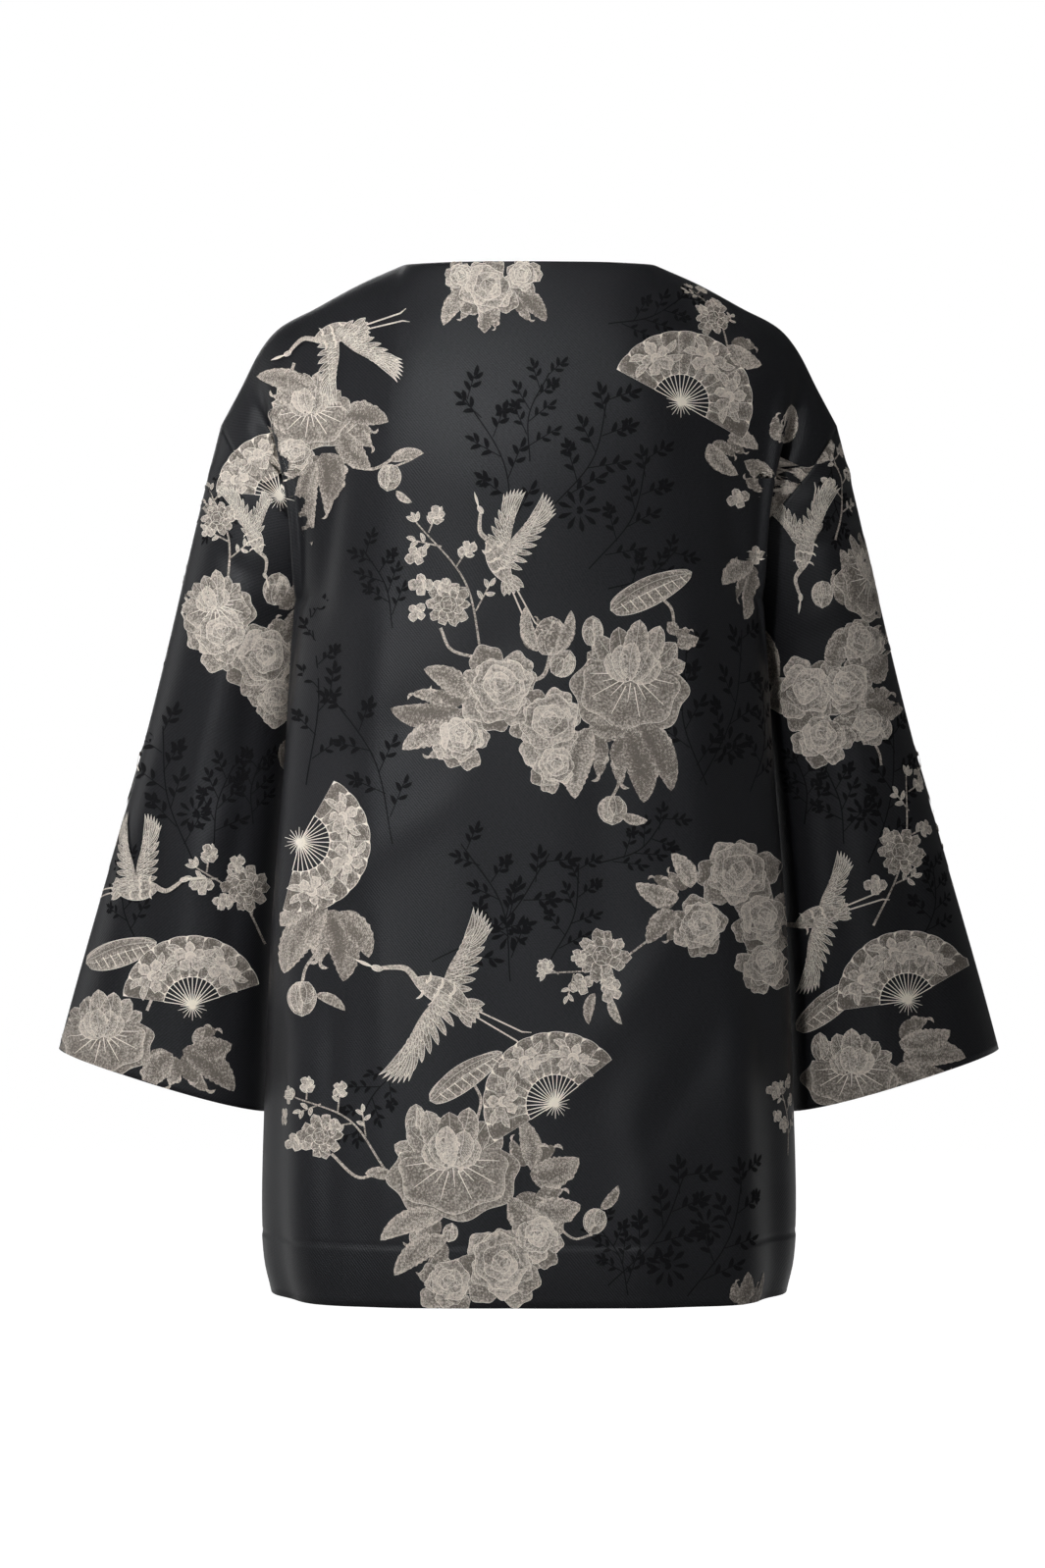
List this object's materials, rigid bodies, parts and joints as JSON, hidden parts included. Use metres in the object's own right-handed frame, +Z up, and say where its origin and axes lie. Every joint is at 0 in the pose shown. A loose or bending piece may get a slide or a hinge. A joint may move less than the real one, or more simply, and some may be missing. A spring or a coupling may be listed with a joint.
{
  "type": "kimono jacket",
  "caption": "collarless hip-length kimono jacket with drop shoulders and wide flared sleeves, filled out as worn, open down the front",
  "frame": {"origin": "middle of the neck opening at the height of the shoulder line, where the jacket rests on a wearer", "axes": "X across, with the wearer's right side at +X; the back faces -Y and the open front faces +Y; Z up"},
  "size_m": [0.6776, 0.273, 0.7251],
  "materials": {
    "back_satin": "black satin brocade with pale woven motifs",
    "right_front_satin": "black satin brocade with pale woven motifs",
    "left_front_satin": "black satin brocade with pale woven motifs",
    "right_sleeve_satin": "black satin brocade with pale woven motifs",
    "left_sleeve_satin": "black satin brocade with pale woven motifs"
  },
  "bodies": {
    "root": {"back": "back_satin", "right_front": "right_front_satin", "left_front": "left_front_satin", "right_sleeve": "right_sleeve_satin", "left_sleeve": "left_sleeve_satin"}
  },
  "joints": []
}
